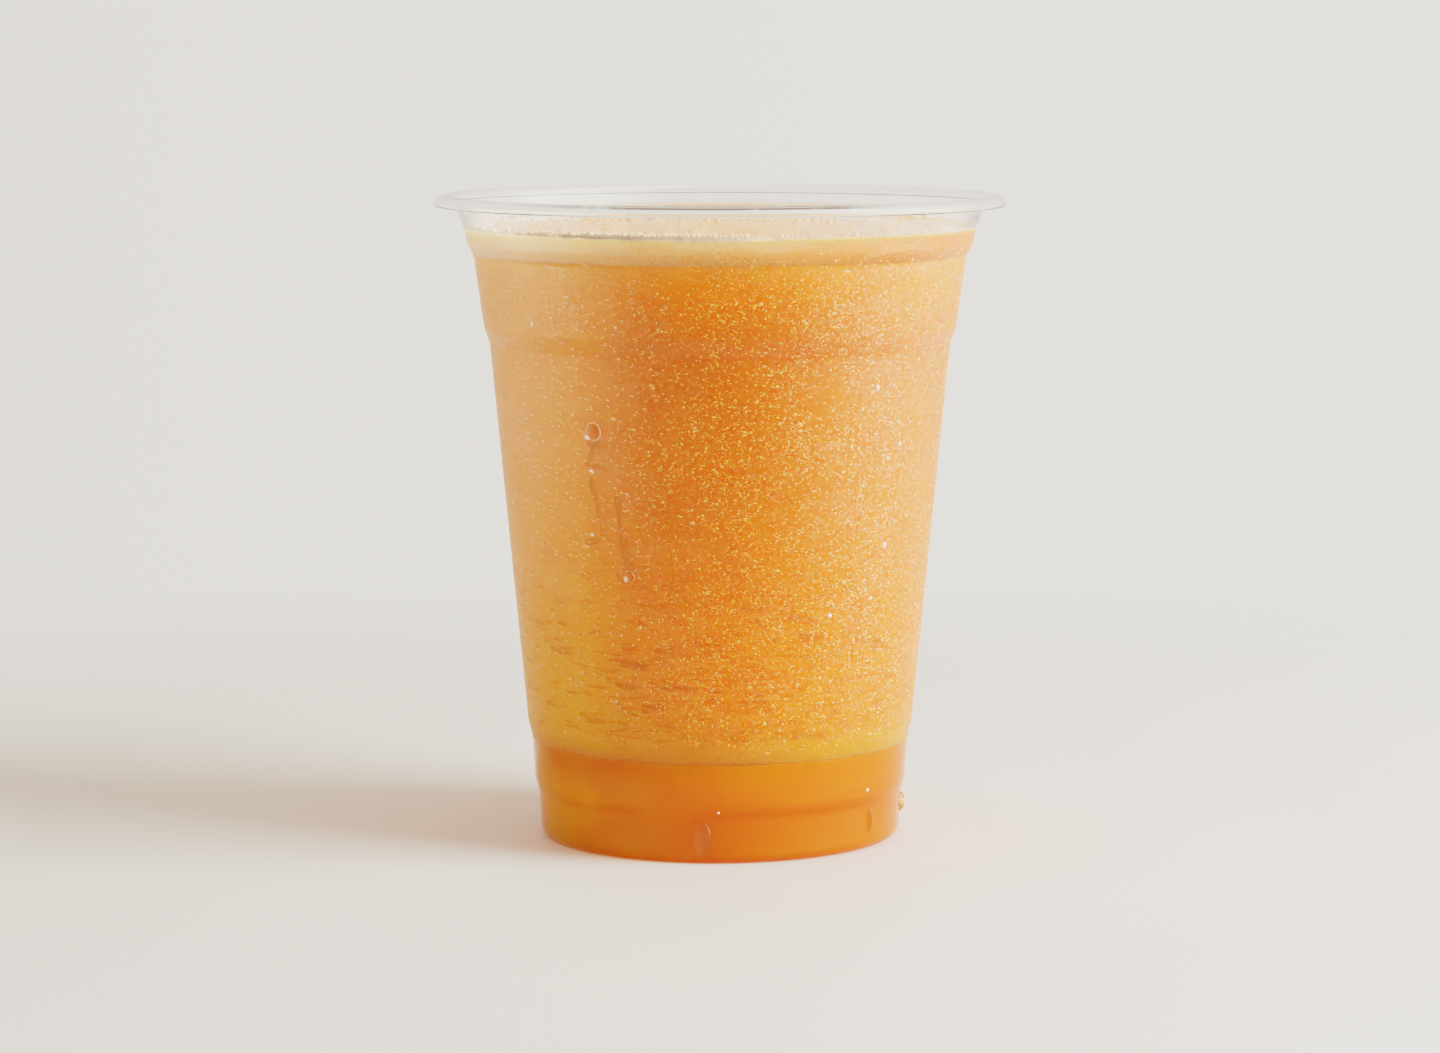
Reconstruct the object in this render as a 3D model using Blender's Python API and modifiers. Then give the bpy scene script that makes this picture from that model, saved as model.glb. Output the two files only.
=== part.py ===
"""Guava juice in a clear plastic takeaway cup, filled nearly to the rolled rim.

The cup is a thin turned shell whose wall narrows in four steps. The juice in it has parted
into three layers: clear juice over the floor, cloudy pulp above it and froth on top.
Units are metres, +Z is up, and the origin is the centre of the foot, on the table.
"""
import math
import random

import bmesh
import bpy
from mathutils import Matrix, Vector, noise

# Rings of the cup's outer wall, each as (radius, height), from the rim down.
NECK_TOP = (0.0436, 0.1046)
NECK_BEND = (0.0424, 0.1015)
NECK_LOW = (0.0421, 0.0996)
COLLAR_TOP = (0.0410, 0.0974)
COLLAR_LOW = (0.0394, 0.0858)
BODY_TOP = (0.0384, 0.0828)
BODY_LOW = (0.0323, 0.0193)
HEEL_TOP = (0.0317, 0.0172)
HEEL_LOW = (0.0312, 0.0097)
FOOT_TOP = (0.0305, 0.0072)
FOOT_LOW = (0.0302, 0.0)
FOOT_INSIDE = (0.0250, 0.0)
PANEL_EDGE = (0.0240, 0.0016)
PANEL_CENTRE = (0.0, 0.0016)

# The rolled rim, as the section of its outer surface.
RIM_RADIUS = 0.0475
RIM_TOP = 0.1075
RIM_WIDTH = 0.0039
RIM_HEIGHT = 0.0026
RIM_ROLL_DEGREES = 305
RIM_ROLL_STEPS = 8

WALL = 0.0005
GAP = 0.0003
TURN_STEPS = 48
STEP_ROUNDING = 0.0005
NECK_ROUNDING = 0.0014
FOOT_ROUNDING = 0.0020
PANEL_ROUNDING = 0.0008

# Levels inside the cup.
SETTLED_TOP = 0.0165
PULP_TOP = 0.0983
FROTH_TOP = 0.1016
FROTH_CLIMB = 0.0007
FROTH_CLIMB_REACH = 0.0030

# The uneven top of the froth.
FROTH_RINGS = 6
SWELL_HEIGHT = 0.00035
SWELL_LENGTH = 0.010
BUBBLE_COUNT = 24
BUBBLE_SMALLEST = 0.0009
BUBBLE_LARGEST = 0.0024
BUBBLE_SUNK = 0.45
BUBBLE_CEILING = 0.1029
BUBBLE_FIELD = 0.0400
BUBBLE_SEED = 7

# Colours as linear RGB.
CLEAR_PLASTIC = (0.90, 0.90, 0.88)
SETTLED_ORANGE = (0.62, 0.20, 0.02)
PULP_ORANGE = (0.74, 0.29, 0.06)
FROTH_CREAM = (0.85, 0.60, 0.34)


def clear_scene():
    """Remove every object that is already in the file."""
    for item in list(bpy.data.objects):
        bpy.data.objects.remove(item, do_unlink=True)


def new_collection(name):
    """Add a collection to the scene."""
    collection = bpy.data.collections.new(name)
    bpy.context.scene.collection.children.link(collection)
    return collection


def liquid_material(name, colour, roughness, transmission):
    """A see-through or cloudy material of one colour."""
    material = bpy.data.materials.new(name)
    material.use_nodes = True
    shader = material.node_tree.nodes["Principled BSDF"]
    shader.inputs["Base Color"].default_value = (*colour, 1.0)
    shader.inputs["Roughness"].default_value = roughness
    shader.inputs["Metallic"].default_value = 0.0
    shader.inputs["Transmission Weight"].default_value = transmission
    material.diffuse_color = (*colour, 1.0)
    return material


def rounded_corner(before, corner, after, reach, steps):
    """Points of a smooth bend that cuts a corner off at the given reach."""
    before, corner, after = Vector(before), Vector(corner), Vector(after)
    start = corner + (before - corner).normalized() * reach
    end = corner + (after - corner).normalized() * reach
    bend = []
    for step in range(steps + 1):
        share = step / steps
        bend.append(start * (1 - share) ** 2 + corner * 2 * share * (1 - share) + end * share ** 2)
    return bend


def rim_roll():
    """The roll of the rim, from its hidden tip over the top to the wall, on the hollow's side."""
    half_width = RIM_WIDTH / 2 - WALL
    half_height = RIM_HEIGHT / 2 - WALL
    centre_radius = RIM_RADIUS - RIM_WIDTH / 2
    centre_height = RIM_TOP - RIM_HEIGHT / 2
    points = []
    for step in range(RIM_ROLL_STEPS + 1):
        angle = math.radians(180 - RIM_ROLL_DEGREES * (1 - step / RIM_ROLL_STEPS))
        radius = centre_radius + half_width * math.cos(angle)
        points.append(Vector((radius, centre_height + half_height * math.sin(angle))))
    return points


def outer_wall():
    """The cup's outer line from the tip of the rim's roll down to the middle of the floor."""
    roll = rim_roll()
    corners = [
        (NECK_BEND, NECK_ROUNDING, 2),
        (NECK_LOW, STEP_ROUNDING, 1),
        (COLLAR_TOP, STEP_ROUNDING, 1),
        (COLLAR_LOW, STEP_ROUNDING, 1),
        (BODY_TOP, STEP_ROUNDING, 1),
        (BODY_LOW, STEP_ROUNDING, 1),
        (HEEL_TOP, STEP_ROUNDING, 1),
        (HEEL_LOW, STEP_ROUNDING, 1),
        (FOOT_TOP, STEP_ROUNDING, 1),
        (FOOT_LOW, FOOT_ROUNDING, 3),
        (FOOT_INSIDE, PANEL_ROUNDING, 2),
        (PANEL_EDGE, PANEL_ROUNDING, 2),
    ]
    line = [NECK_TOP] + [corner for corner, reach, steps in corners] + [PANEL_CENTRE]
    points = roll + [Vector(NECK_TOP)]
    for index, (corner, reach, steps) in enumerate(corners, start=1):
        points += rounded_corner(line[index - 1], corner, line[index + 1], reach, steps)
    points.append(Vector(PANEL_CENTRE))
    return points


def moved_inward(points, distance):
    """A line that runs beside the given one, on the side of the drink."""
    moved = []
    for index, point in enumerate(points):
        ahead = points[min(index + 1, len(points) - 1)] - point
        back = point - points[index - 1] if index else ahead
        if not ahead.length:
            ahead = back
        along = (back.normalized() + ahead.normalized()).normalized()
        side = Vector((along.y, -along.x))
        mitre = along.dot(ahead.normalized())
        moved.append(point + side * distance / mitre)
    return moved


def drink_side():
    """The line that the drink may reach, from the neck down to the middle of the floor."""
    below_roll = outer_wall()[RIM_ROLL_STEPS + 1:]
    line = moved_inward(below_roll, WALL + GAP)
    line[-1].x = 0.0
    return line


def radius_at(line, height):
    """The radius at which a line crosses a height."""
    for upper, lower in zip(line, line[1:]):
        if upper.y >= height >= lower.y and upper.y > lower.y:
            share = (upper.y - height) / (upper.y - lower.y)
            return upper.x + (lower.x - upper.x) * share
    raise ValueError(f"no wall at height {height}")


def layer_outline(top, bottom):
    """Outline of a layer of drink from its top edge down to the middle of its underside."""
    line = drink_side()
    outline = [Vector((radius_at(line, top), top))]
    outline += [point for point in line if bottom < point.y < top and point.x > PANEL_EDGE[0]]
    outline.append(Vector((radius_at(line, bottom), bottom)))
    outline.append(Vector((0.0, bottom)))
    return outline


def settled_outline():
    """Outline of the settled layer, which follows the raised panel of the floor."""
    line = drink_side()
    top = Vector((radius_at(line, SETTLED_TOP), SETTLED_TOP))
    return [Vector((0.0, SETTLED_TOP)), top] + [point for point in line if point.y < SETTLED_TOP]


def froth_outline():
    """Outline of the froth, which climbs a little up the wall round a nearly level middle."""
    bottom = PULP_TOP + GAP
    edge = layer_outline(FROTH_TOP + FROTH_CLIMB, bottom)
    rim = edge[0].x
    top = []
    for ring in range(FROTH_RINGS):
        radius = rim * math.sqrt(ring / FROTH_RINGS)
        rise = max(0.0, 1 - (rim - radius) / FROTH_CLIMB_REACH)
        top.append(Vector((radius, FROTH_TOP + FROTH_CLIMB * rise ** 2)))
    return top + edge


def turned(name, outline, collection, material):
    """Turn an outline round the vertical axis."""
    mesh = bpy.data.meshes.new(name)
    shape = bmesh.new()
    vertices = [shape.verts.new((point.x, 0.0, point.y)) for point in outline]
    for first, second in zip(vertices, vertices[1:]):
        shape.edges.new((first, second))
    shape.to_mesh(mesh)
    shape.free()
    mesh.materials.append(material)
    item = bpy.data.objects.new(name, mesh)
    collection.objects.link(item)
    screw = item.modifiers.new("turn", "SCREW")
    screw.steps = TURN_STEPS
    screw.render_steps = TURN_STEPS
    screw.use_merge_vertices = True
    screw.merge_threshold = 0.00005
    screw.use_smooth_shade = True
    return item


def fix_modifiers(item):
    """Replace an object's mesh by what its modifiers make of it."""
    graph = bpy.context.evaluated_depsgraph_get()
    mesh = bpy.data.meshes.new_from_object(item.evaluated_get(graph))
    item.modifiers.clear()
    item.data = mesh


def add_cup(collection):
    """The clear cup, a shell of even thickness."""
    material = liquid_material("clear_plastic", CLEAR_PLASTIC, 0.06, 1.0)
    cup = turned("cup", outer_wall(), collection, material)
    shell = cup.modifiers.new("wall", "SOLIDIFY")
    shell.thickness = WALL
    shell.offset = -1.0
    shell.use_even_offset = True
    return cup


def add_settled_juice(collection):
    """The clear layer over the floor."""
    material = liquid_material("settled_juice", SETTLED_ORANGE, 0.10, 0.6)
    return turned("settled_juice", settled_outline(), collection, material)


def add_pulpy_juice(collection):
    """The tall cloudy layer."""
    material = liquid_material("pulpy_juice", PULP_ORANGE, 0.35, 0.0)
    outline = layer_outline(PULP_TOP, SETTLED_TOP + GAP)
    return turned("pulpy_juice", [Vector((0.0, PULP_TOP))] + outline, collection, material)


def swell_froth(froth):
    """Raise and lower the froth's top in soft swells that die out at the wall."""
    rim = froth_outline()[FROTH_RINGS].x
    for vertex in froth.data.vertices:
        radius = vertex.co.xy.length
        if vertex.co.z > FROTH_TOP - GAP and radius < rim - GAP:
            fade = min(1.0, (rim - radius) / FROTH_CLIMB_REACH)
            place = Vector((vertex.co.x, vertex.co.y, 0.0)) / SWELL_LENGTH
            vertex.co.z += SWELL_HEIGHT * fade * noise.noise(place)


def add_bubbles(collection, material):
    """Large bubbles, more of them near the wall than in the middle."""
    draw = random.Random(BUBBLE_SEED)
    placed = []
    while len(placed) < BUBBLE_COUNT:
        size = BUBBLE_SMALLEST + (BUBBLE_LARGEST - BUBBLE_SMALLEST) * draw.random() ** 2
        radius = (BUBBLE_FIELD - size) * draw.random() ** 0.35
        angle = draw.uniform(0.0, math.tau)
        centre = Vector((radius * math.cos(angle), radius * math.sin(angle)))
        if any((centre - other).length < (size + reach) * 1.05 for other, reach in placed):
            continue
        placed.append((centre, size))
        bpy.ops.mesh.primitive_ico_sphere_add(subdivisions=2, radius=size)
        bubble = bpy.context.active_object
        height = min(FROTH_TOP - size * BUBBLE_SUNK, BUBBLE_CEILING - size)
        bubble.data.transform(Matrix.Translation((centre.x, centre.y, height)))
        bubble.data.materials.append(material)
        bubble.users_collection[0].objects.unlink(bubble)
        collection.objects.link(bubble)


def add_froth(collection):
    """The pale froth, with its larger bubbles fused on."""
    material = liquid_material("froth", FROTH_CREAM, 0.55, 0.0)
    froth = turned("froth", froth_outline(), collection, material)
    fix_modifiers(froth)
    swell_froth(froth)
    bubbles = new_collection("bubbles")
    add_bubbles(bubbles, material)
    union = froth.modifiers.new("bubbles", "BOOLEAN")
    union.operation = "UNION"
    union.operand_type = "COLLECTION"
    union.collection = bubbles
    union.solver = "EXACT"
    fix_modifiers(froth)
    for bubble in list(bubbles.objects):
        bpy.data.objects.remove(bubble, do_unlink=True)
    bpy.data.collections.remove(bubbles)
    froth.data.shade_smooth()
    froth.data.set_sharp_from_angle(angle=math.radians(35))
    return froth


def main():
    """Build the cup and its three layers of juice."""
    clear_scene()
    collection = new_collection("guava_juice")
    add_cup(collection)
    add_settled_juice(collection)
    add_pulpy_juice(collection)
    add_froth(collection)


main()
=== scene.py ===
"""Looks of a misted clear takeaway cup of guava juice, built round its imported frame.

The juice shows in three layers: clear amber juice over the floor, cloudy pulpy juice and pale
froth. Fine water drops mist the outside of the cold cup, and a few have run down it.
All sizes are in metres, with +Z up and the front of the cup on the -Y side. Angles are in
degrees round the cup, counterclockwise from +X, so the front is at -90.
"""
import math
import random

import bmesh
import bpy
import numpy as np
from bpy.props import FloatProperty, FloatVectorProperty, IntProperty, PointerProperty
from bpy.types import NodeSocket, Operator, Panel, PropertyGroup
from mathutils import Matrix, Vector, noise


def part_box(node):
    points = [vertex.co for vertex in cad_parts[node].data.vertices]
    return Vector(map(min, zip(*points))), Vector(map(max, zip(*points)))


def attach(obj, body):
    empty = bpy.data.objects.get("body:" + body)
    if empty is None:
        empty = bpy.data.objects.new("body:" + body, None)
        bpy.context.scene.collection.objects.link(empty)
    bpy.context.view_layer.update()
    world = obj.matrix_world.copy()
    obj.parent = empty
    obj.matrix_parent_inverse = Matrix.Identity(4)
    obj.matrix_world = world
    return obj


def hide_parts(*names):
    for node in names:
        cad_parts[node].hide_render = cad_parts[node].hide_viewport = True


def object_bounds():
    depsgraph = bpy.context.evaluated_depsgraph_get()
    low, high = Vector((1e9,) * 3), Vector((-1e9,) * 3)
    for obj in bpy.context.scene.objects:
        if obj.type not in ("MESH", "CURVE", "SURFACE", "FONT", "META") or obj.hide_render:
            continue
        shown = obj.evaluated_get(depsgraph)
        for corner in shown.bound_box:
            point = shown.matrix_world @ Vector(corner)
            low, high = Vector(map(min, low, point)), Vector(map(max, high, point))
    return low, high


bl_info = {
    "name": "Guava Juice",
    "version": (1, 0, 0),
    "blender": (4, 5, 0),
    "location": "3D View > Sidebar > Guava Juice",
    "description": "Builds a misted clear cup of layered guava juice",
    "category": "Add Mesh",
}

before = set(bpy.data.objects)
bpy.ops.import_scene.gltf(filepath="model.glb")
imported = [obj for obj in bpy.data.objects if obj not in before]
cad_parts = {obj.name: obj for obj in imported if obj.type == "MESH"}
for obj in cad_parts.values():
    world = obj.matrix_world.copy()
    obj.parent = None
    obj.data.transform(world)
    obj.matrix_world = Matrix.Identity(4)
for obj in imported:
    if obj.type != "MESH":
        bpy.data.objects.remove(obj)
CAD_LOW, CAD_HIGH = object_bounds()
SETTLED_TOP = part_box("settled_juice")[1].z
PULP_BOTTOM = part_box("pulpy_juice")[0].z
PULP_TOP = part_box("pulpy_juice")[1].z
FROTH_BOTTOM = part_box("froth")[0].z

# Rings of the cup's outer wall, each as (radius, height), from the rim down
NECK_TOP = (0.0436, 0.1046)
NECK_BEND = (0.0424, 0.1015)
NECK_LOW = (0.0421, 0.0996)
COLLAR_TOP = (0.0410, 0.0974)
COLLAR_LOW = (0.0394, 0.0858)
BODY_TOP = (0.0384, 0.0828)
BODY_LOW = (0.0323, 0.0193)
HEEL_TOP = (0.0317, 0.0172)
MIST_END = (0.03166, 0.0166)
HEEL_LOW = (0.0312, 0.0097)
FOOT_TOP = (0.0305, 0.0072)
FOOT_LOW = (0.0302, 0.0)
FOOT_INSIDE = (0.0250, 0.0)
PANEL_EDGE = (0.0240, 0.0016)
PANEL_CENTRE = (0.0, 0.0016)

# How far each corner of the wall is rounded off
STEP_ROUNDING = 0.0005
NECK_ROUNDING = 0.0014
FOOT_ROUNDING = 0.0020
PANEL_ROUNDING = 0.0008
MIST_END_ROUNDING = 0.00005

# The rolled rim
RIM_RADIUS = 0.0475
RIM_WIDTH = 0.0039
RIM_HEIGHT = 0.0026
RIM_MIDDLE = RIM_RADIUS - RIM_WIDTH / 2
RIM_ROLL_DEGREES = 200
RIM_ROLL_STEPS = 40

# The wall, and how deep the drink's side sinks into it so that no air shows between them
WALL = 0.0005
SINK_IN_WALL = 0.00015
TURN_STEPS = 192

# The layers of juice: their wavy edges, the hidden foot of the upper ones, and steps up their sides
LAYER_WAVE = 0.00025
TONGUE_INSET = 0.0001
TONGUE_DIP = 0.0006
AMBER_EDGE_GAP = 0.0005
PULP_SIDE_STEP = 0.002
FROTH_SIDE_STEP = 0.0005

# The froth's level top, how it climbs the wall, its swells and the fine foam on them
FROTH_TOP = 0.1016
FROTH_CLIMB = 0.0007
FROTH_CLIMB_REACH = 0.0030
FROTH_RINGS = 80
SWELL_HEIGHT = 0.00035
SWELL_LENGTH = 0.010
SWELL_FADE = 0.003
FOAM_HEIGHT = 0.00022
FOAM_LENGTH = 0.0016
FOAM_EDGE_GAP = 0.0004

# The froth's larger bubbles
BUBBLE_COUNT = 24
BUBBLE_SMALLEST = 0.0009
BUBBLE_LARGEST = 0.0024
BUBBLE_SUNK = 0.45
BUBBLE_CEILING = 0.1029
BUBBLE_FIELD = 0.0400
BUBBLE_SEED = 7

# The froth's fine bubbles: first those along the wall, densest at one side, then those on its top
FINE_COUNT = 2600
FINE_BY_WALL = 1300
FINE_SMALLEST = 0.00016
FINE_SPREAD = 0.00045
FINE_SIDE = -112.0
FINE_SIDE_SPREAD = 16.0
FINE_SIDE_CHANCE = 0.45
FINE_CLIMB = 0.00028
FINE_FIELD = 0.0405
FINE_SEED = 11

# The mist: its density by (angle, share) and (height, share), and the shape of its drops
MIST_ROUND = (
    (-180, 0.22), (-135, 0.15), (-118, 0.3), (-104, 0.8), (-92, 1.0),
    (-60, 1.0), (-20, 0.7), (60, 0.7), (150, 0.4), (180, 0.22),
)
MIST_UP = ((0.0175, 0.0), (0.0215, 0.7), (0.030, 1.0), (0.094, 0.9), (0.0985, 0.45), (0.1015, 0.2))
MIST_PIECES = (
    (0.0, 0.038, "mist_low"), (0.038, 0.054, "mist_lower"), (0.054, 0.070, "mist_middle"),
    (0.070, 0.085, "mist_upper"), (0.085, 0.2, "mist_high"),
)
MIST_SMALLEST_SHARE = 0.6
MIST_SIZE_SPREAD = 0.9
MIST_LARGE_CHANCE = 0.03
MIST_LARGE_FACTOR = 1.7
MIST_WIDTHS = (0.8, 1.9)
MIST_LENGTHS = (0.7, 1.3)
MIST_DEPTH = 0.55
MIST_SUNK = 0.35
MIST_SEED = 5

# Larger drops: (angle, height, half width, half length, thickness)
LARGE_DROPS = (
    (-123.0, 0.0708, 0.0014, 0.0014, 0.0012),
    (-114.6, 0.0474, 0.0010, 0.0011, 0.0008),
    (-35.5, 0.0051, 0.0008, 0.0022, 0.0006),
    (-95.5, 0.0042, 0.0016, 0.0030, 0.0008),
    (-2.0, 0.0052, 0.0012, 0.0018, 0.0012),
    (62.0, 0.0610, 0.0010, 0.0012, 0.0007),
    (118.0, 0.0420, 0.0008, 0.0010, 0.0006),
)

# Painted highlights, pale flecks where drops gather the light: (angle, height, half width, half length,
# thickness)
PALE_FLECKS = (
    (-124.9, 0.0699, 0.0006, 0.0005, 0.0010),
    (-125.4, 0.0539, 0.0003, 0.0003, 0.0003),
    (-115.6, 0.0470, 0.0004, 0.0005, 0.0006),
    (-124.4, 0.0643, 0.0004, 0.0003, 0.0003),
    (-48.0, 0.0776, 0.0004, 0.0005, 0.0004),
    (-38.0, 0.0680, 0.0003, 0.0004, 0.0003),
    (-42.5, 0.0659, 0.0003, 0.0003, 0.0003),
    (-41.0, 0.0515, 0.0004, 0.0006, 0.0004),
    (-59.0, 0.0408, 0.0004, 0.0004, 0.0004),
    (-45.0, 0.0430, 0.0003, 0.0003, 0.0003),
    (-39.0, 0.0105, 0.0003, 0.0003, 0.0003),
    (-90.4, 0.0087, 0.0002, 0.0002, 0.0002),
    (-140.0, 0.0876, 0.0003, 0.0004, 0.0003),
    (-1.0, 0.0050, 0.0005, 0.0006, 0.0009),
    (60.0, 0.0604, 0.0004, 0.0004, 0.0003),
)

# Painted highlights, bright rims of the two thickest drops: (angle, height, half width, half length,
# thickness)
DROP_RIMS = (
    (-123.0, 0.0708, 0.0013, 0.0014, 0.0012),
    (-114.6, 0.0474, 0.0009, 0.0009, 0.0010),
)
DROP_RIM_SHARE = 0.13
DROPS_SUNK = 0.3

# Short marks left where water ran down: (start, end, half width), both ends as (angle, height)
TRAILS = (
    ((-124.6, 0.0688), (-121.6, 0.0687), 0.0008),
    ((-123.5, 0.0684), (-124.6, 0.0660), 0.0009),
    ((-125.6, 0.0655), (-120.8, 0.0651), 0.0010),
    ((-124.5, 0.0630), (-123.5, 0.0598), 0.0009),
    ((-127.0, 0.0526), (-123.8, 0.0530), 0.0008),
    ((-123.0, 0.0590), (-122.0, 0.0540), 0.0006),
    ((-116.2, 0.0530), (-114.6, 0.0482), 0.0011),
    ((-118.0, 0.0476), (-116.8, 0.0466), 0.0006),
    ((-117.2, 0.0600), (-116.4, 0.0530), 0.0007),
    ((61.0, 0.0640), (63.0, 0.0625), 0.0009),
)

# Dark level streaks of pulp that settle against the wall, given in the same way
PULP_STREAKS = (
    ((-117.5, 0.0333), (-111.0, 0.0329), 0.0009),
    ((-107.5, 0.0356), (-101.5, 0.0352), 0.0007),
    ((-105.5, 0.0297), (-98.5, 0.0294), 0.0008),
    ((-120.0, 0.0294), (-114.5, 0.0291), 0.0007),
    ((-112.0, 0.0262), (-106.0, 0.0259), 0.0006),
    ((-71.0, 0.0409), (-64.0, 0.0405), 0.0008),
    ((-67.5, 0.0378), (-61.0, 0.0376), 0.0008),
    ((-49.0, 0.0362), (-40.5, 0.0359), 0.0008),
    ((-68.0, 0.0213), (-58.5, 0.0211), 0.0009),
    ((-84.0, 0.0425), (-79.0, 0.0424), 0.0005),
    ((-95.0, 0.0368), (-90.0, 0.0366), 0.0005),
)

# Bands of height on the wall, each as the heights where it rises and those where it falls
CREASE_BAND = (
    (FOOT_TOP[1] + 0.0002, FOOT_TOP[1] + 0.0008), (HEEL_LOW[1] - 0.0002, HEEL_LOW[1] - 0.0010),
)
BEVEL_BAND = (
    (BODY_TOP[1] + 0.0002, BODY_TOP[1] + 0.0006), (COLLAR_LOW[1] + 0.0002, COLLAR_LOW[1] - 0.0006),
)
MIST_BAND = ((HEEL_TOP[1], BODY_LOW[1] + 0.002), (NECK_BEND[1], COLLAR_TOP[1] - 0.001))
LEVEL_LINE_BAND = ((HEEL_TOP[1], BODY_LOW[1] + 0.003), (0.055, 0.040))

# Heights between which a colour changes, as (none of it, all of it)
MIST_TURNS_WARM = (0.060, 0.030)
MIST_ON_COLLAR = (COLLAR_LOW[1] - 0.002, COLLAR_LOW[1] + 0.003)
PULP_TURNS_DARK = (0.055, 0.030)
# Painted light on the pulp's lower left grows between these heights
PULP_PAINTED_LIGHT = (0.060, 0.025)
PULP_MEETS_FROTH = (PULP_TOP - 0.0040, PULP_TOP)
PULP_PALE_FOOT = (PULP_BOTTOM + 0.0060, PULP_BOTTOM + 0.0010)
FROTH_PALES = (PULP_TOP + 0.0008, PULP_TOP + 0.0030)
FROTH_EDGE = (FROTH_TOP - 0.0002, FROTH_TOP + 0.0004)
FROTH_LEVEL = (FROTH_TOP - 0.0007, FROTH_TOP - 0.0002)
FROTH_RIM = (FROTH_TOP + 0.0001, FROTH_TOP + 0.0005)
FILM_AT_BACK = (0.1045, 0.1036)

# Distances from the axis over which the froth's level top ends, and over which bubbles are by the wall
FROTH_LEVEL_REACH = (0.0417, 0.0412)
BUBBLES_NEAR_WALL = (0.0400, 0.0412)

# The crest of the rim, where the plastic bends sharply, with a painted dark line along its front for the dark
# refraction seen there
CREST_HEIGHT = 0.0002
CREST_PAINTED_DARK = (0.05, 0.028, 0.018)

# The middle of the side that the mist has left nearly bare
BARE_SIDE = -155.0

# What the three clear plastics share, and the bend of light in water
PLASTIC = {"IOR": 1.5, "Specular IOR Level": 0.36, "Transmission Weight": 1.0}
WATER_IOR = 1.38

# The room round the cup, as (degrees from the front, brightness), with the right side positive
ROOM_LIGHT = (
    (-180, 0.98), (-90, 1.58), (-40, 1.16), (0, 0.90), (40, 0.95), (90, 1.0), (180, 0.98),
)
ROOM_MIRRORED_LOW = (
    (-180, 0.8), (-140, 0.8), (-100, 3.5), (-72, 4.2), (-54, 3.0), (-36, 0.3), (0, 0.02), (15, 0.2),
    (36, 1.0), (58, 2.2), (80, 3.5), (108, 2.9), (150, 0.8), (180, 0.8),
)
ROOM_MIRRORED_HIGH = (
    (-180, 0.9), (-100, 1.1), (-60, 0.8), (0, 0.45), (30, 0.8), (48, 4.2), (65, 7.0), (95, 7.0),
    (115, 2.4), (150, 1.0), (180, 0.9),
)
# The upright parts of a direction between which the low mirrored ring turns into the high one
MIRRORED_LOW_END = -0.15
MIRRORED_HIGH_START = -0.03
# The low ring grows brighter between these depths, by this factor
MIRRORED_DEEP_START = -0.22
MIRRORED_DEEP_END = -0.31
DEEPER = 1.4
# The room's light fades to this share between these upright parts of a direction
OVERHEAD_START = 0.1
OVERHEAD_END = 0.8
OVERHEAD = 0.38
# The sideways parts of a direction between which the backdrop turns from its left to its right colour
BACKDROP_LEFT = -0.17
BACKDROP_RIGHT = 0.05

# The soft light from the right
KEY_PLACE = (0.72, -0.24, 0.50)
KEY_TARGET = (0.0, 0.0, 0.05)
KEY_WIDTH = 0.5
KEY_HEIGHT = 0.45

EXPOSURE = 0.50
# How often light may turn on its way, enough for the rolled rim
LIGHT_BOUNCES = 24

# Distances from the cup between which the floor fades out
FLOOR_FADE_NEAR = 0.15
FLOOR_FADE_FAR = 0.34

# The camera in front of the cup, looking a little down
CAMERA_PLACE = (0.0, -0.717, 0.1379)
CAMERA_DOWN = 6.85
SENSOR_WIDTH = 36.0


def colour_setting(name, description, default):
    """A colour that the sidebar shows."""
    return FloatVectorProperty(
        name=name, description=description, default=default, size=3, min=0.0, max=1.0, subtype="COLOR",
    )


class CupSettings(PropertyGroup):
    """Sizes and colours of the cup and its mist."""

    wall: FloatProperty(
        name="Wall", description="Thickness of the plastic",
        default=WALL, min=0.0002, max=0.001, unit="LENGTH",
    )
    plastic: colour_setting("Plastic", "Tint of the clear plastic", (0.97, 0.965, 0.95))
    trail: colour_setting("Trail", "Tint where water ran through the mist", (0.60, 0.62, 0.06))
    mist_drops: IntProperty(
        name="Mist drops", description="How many fine drops stand on the cup",
        default=36000, min=0, max=45000,
    )
    mist_drop_size: FloatProperty(
        name="Mist drop size", description="Half width of a common fine drop",
        default=0.000125, min=0.00005, max=0.0004, unit="LENGTH",
    )


class JuiceSettings(PropertyGroup):
    """Colours of the juice's layers."""

    amber: colour_setting("Amber", "Colour of the clear juice over the floor", (0.985, 0.275, 0.001))
    pulp_top: colour_setting("Pulp, top", "Colour of the cloudy juice under the froth", (0.90, 0.365, 0.004))
    pulp_high: colour_setting("Pulp, high", "Colour of it under the collar", (0.68, 0.228, 0.001))
    pulp_low: colour_setting("Pulp, low", "Colour of it near the foot", (0.985, 0.350, 0.003))
    pulp_streak: colour_setting("Pulp streak", "Colour of its darker streaks", (0.72, 0.15, 0.001))
    froth: colour_setting("Froth", "Colour of the froth's upper part", (0.97, 0.63, 0.41))
    froth_low: colour_setting("Froth, low", "Colour of the froth at the juice", (0.98, 0.46, 0.17))


class StageSettings(PropertyGroup):
    """Floor, light and camera."""

    floor: colour_setting("Floor", "Colour of the floor", (0.71, 0.685, 0.638))
    backdrop: colour_setting("Backdrop", "Colour of the surroundings", (0.685, 0.645, 0.575))
    backdrop_left: colour_setting("Backdrop, left", "Colour on the left", (0.625, 0.585, 0.525))
    key_power: FloatProperty(
        name="Key light", description="Power of the soft light from the right",
        default=7.7, min=0.0, unit="POWER",
    )
    lens: FloatProperty(
        name="Lens", description="Focal length of the camera in millimetres",
        default=107.5, min=10.0, max=300.0,
    )


def cup_settings():
    """The cup's settings on the scene."""
    return bpy.context.scene.guava_cup


def juice_settings():
    """The juice's settings on the scene."""
    return bpy.context.scene.guava_juice_colours


def stage_settings():
    """The stage's settings on the scene."""
    return bpy.context.scene.guava_stage


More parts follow.
